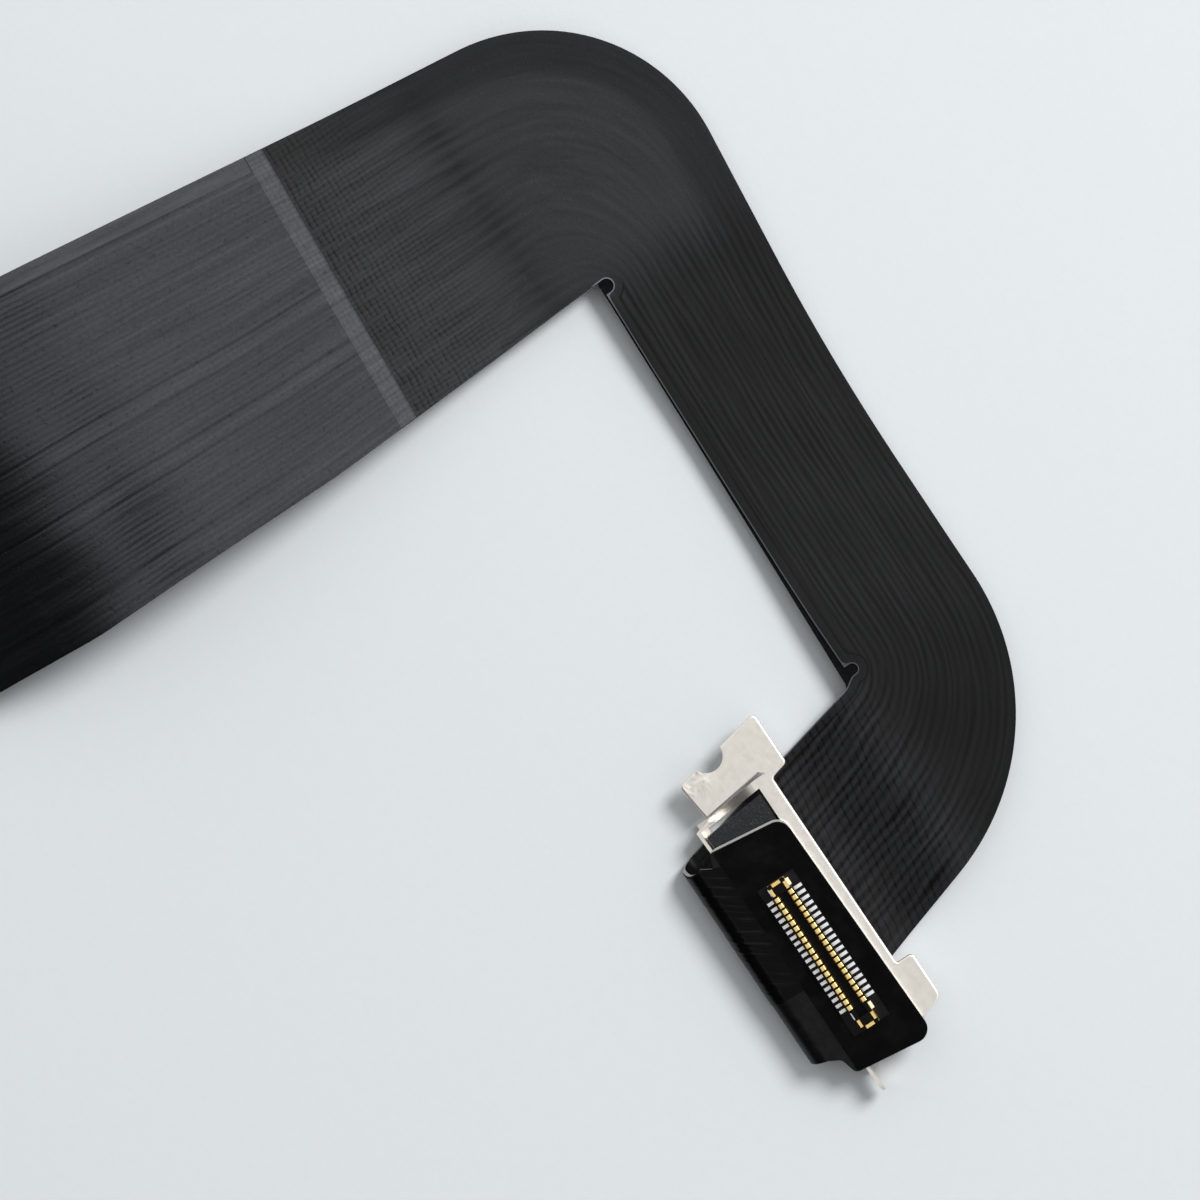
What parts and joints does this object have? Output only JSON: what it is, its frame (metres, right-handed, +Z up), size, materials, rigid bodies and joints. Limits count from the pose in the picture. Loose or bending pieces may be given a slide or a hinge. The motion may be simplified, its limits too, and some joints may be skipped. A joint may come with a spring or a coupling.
{
  "type": "touchpad cable",
  "caption": "Shaped black flexible circuit with a folded end, a fine-pitch board plug on a bent metal bracket and a plain contact tail.",
  "frame": {"origin": "centre of the board plug, projected onto the plane that the cable lies on", "axes": "+X along the plug's contact rows, +Y across them towards the middle arm, +Z up out of the plug"},
  "size_m": [0.0698, 0.0693, 0.0048],
  "materials": {
    "flex": "satin",
    "film": "satin",
    "seam": "satin",
    "tape": "satin",
    "gloss_film": "gloss",
    "stiffener": "satin",
    "nickel_sheet": "satin",
    "block": "matt",
    "housing": "matt",
    "gold": "polished",
    "tail_backing": "satin"
  },
  "bodies": {
    "root": {"backing_pad": "block", "bracket": "nickel_sheet", "connector_housing": "housing", "contact_a01": "gold", "contact_a02": "gold", "contact_a03": "gold", "contact_a04": "gold", "contact_a05": "gold", "contact_a06": "gold", "contact_a07": "gold", "contact_a08": "gold", "contact_a09": "gold", "contact_a10": "gold", "contact_a11": "gold", "contact_a12": "gold", "contact_a13": "gold", "contact_a14": "gold", "contact_a15": "gold", "contact_a16": "gold", "contact_a17": "gold", "contact_a18": "gold", "contact_a19": "gold", "contact_a20": "gold", "contact_b01": "gold", "contact_b02": "gold", "contact_b03": "gold", "contact_b04": "gold", "contact_b05": "gold", "contact_b06": "gold", "contact_b07": "gold", "contact_b08": "gold", "contact_b09": "gold", "contact_b10": "gold", "contact_b11": "gold", "contact_b12": "gold", "contact_b13": "gold", "contact_b14": "gold", "contact_b15": "gold", "contact_b16": "gold", "contact_b17": "gold", "contact_b18": "gold", "contact_b19": "gold", "contact_b20": "gold", "flex_circuit": "flex", "fold_tape": "tape", "pad_film": "gloss_film", "pad_stiffener": "stiffener", "power_contact_a": "gold", "power_contact_b": "gold", "seam_strip": "seam", "shield_film": "film", "tail_fingers": "gold", "tail_stiffener": "tail_backing"}
  },
  "joints": []
}
